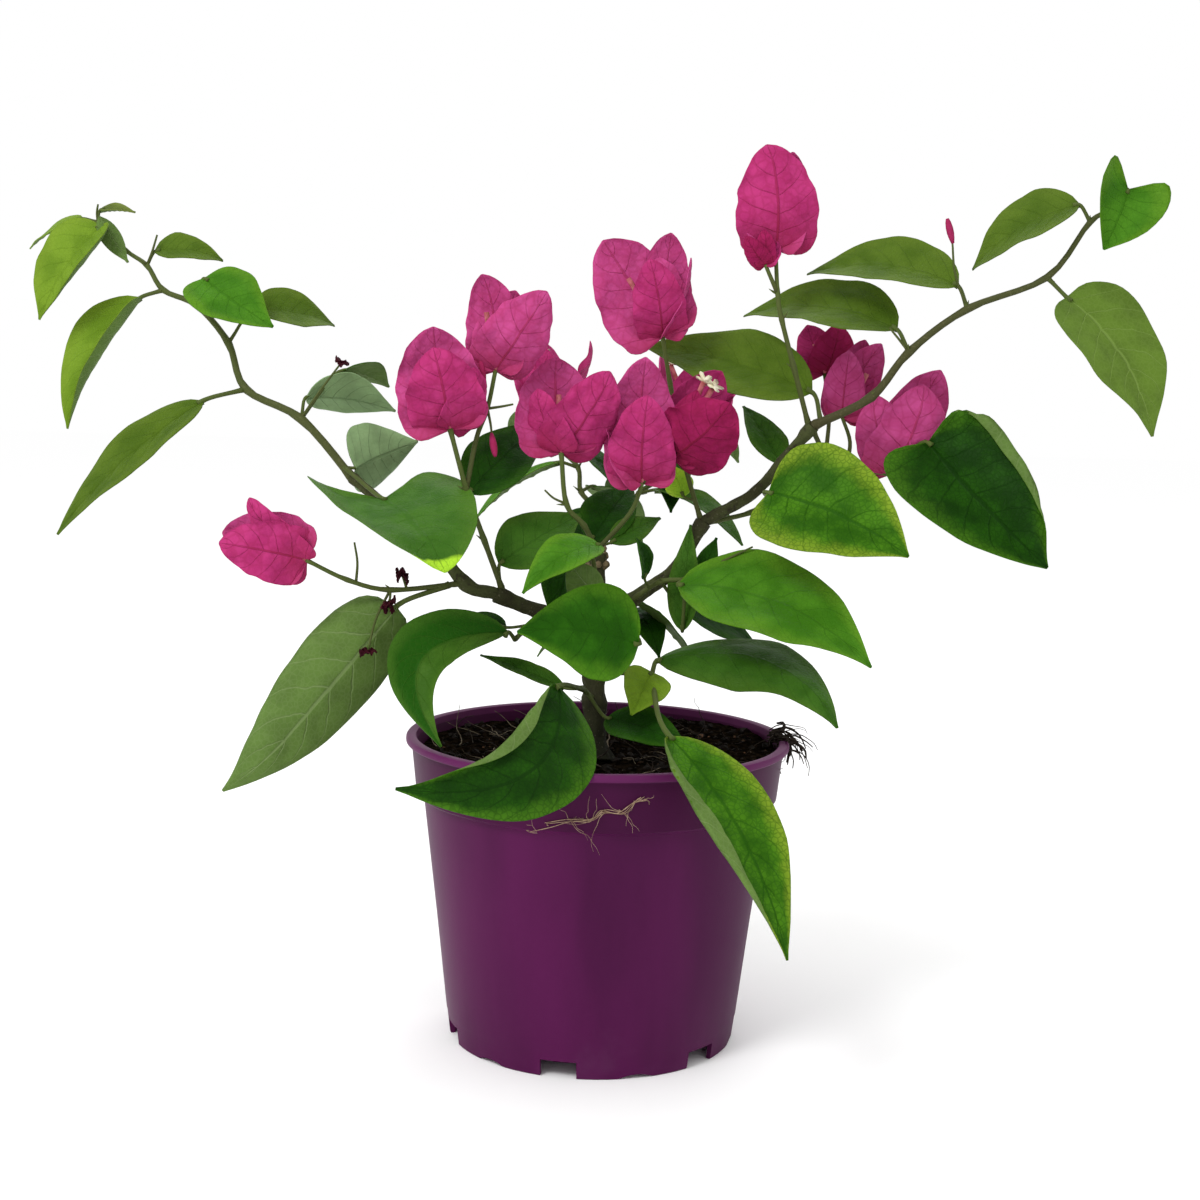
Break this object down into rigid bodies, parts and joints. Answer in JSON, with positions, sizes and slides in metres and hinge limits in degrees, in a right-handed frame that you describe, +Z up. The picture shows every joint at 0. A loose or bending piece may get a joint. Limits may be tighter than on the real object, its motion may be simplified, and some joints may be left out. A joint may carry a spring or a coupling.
{
  "type": "potted bougainvillea bush",
  "caption": "Young bougainvillea bush in a round nursery pot: short trunk, long arching boughs, leaves and papery pink bracts.",
  "frame": {"origin": "middle of the pot's underside, on the surface it stands on", "axes": "+Z up along the pot's axis, +X to the right of the plant, +Y away from its front"},
  "size_m": [0.4437, 0.242, 0.35],
  "materials": {
    "pot": "matte",
    "soil": "matte",
    "wood": "matte",
    "leaves": "satin",
    "bracts": "matte"
  },
  "bodies": {
    "root": {"pot": "pot", "soil": "soil", "trunk": "wood", "left_bough": "wood", "left_upper_bough": "wood", "right_bough": "wood", "right_upper_bough": "wood", "back_bough": "wood", "left_arm_foliage": "leaves", "left_under_foliage": "leaves", "centre_left_foliage": "leaves", "low_front_foliage": "leaves", "low_right_foliage": "leaves", "right_under_foliage": "leaves", "right_arm_foliage": "leaves", "right_low_foliage": "leaves", "back_left_foliage": "leaves", "back_right_foliage": "leaves", "back_low_foliage": "leaves", "left_low_spray": "bracts", "left_rise_spray": "bracts", "crown_spray": "bracts", "right_rise_spray": "bracts", "top_spray": "bracts", "right_cluster_spray": "bracts"}
  },
  "joints": []
}
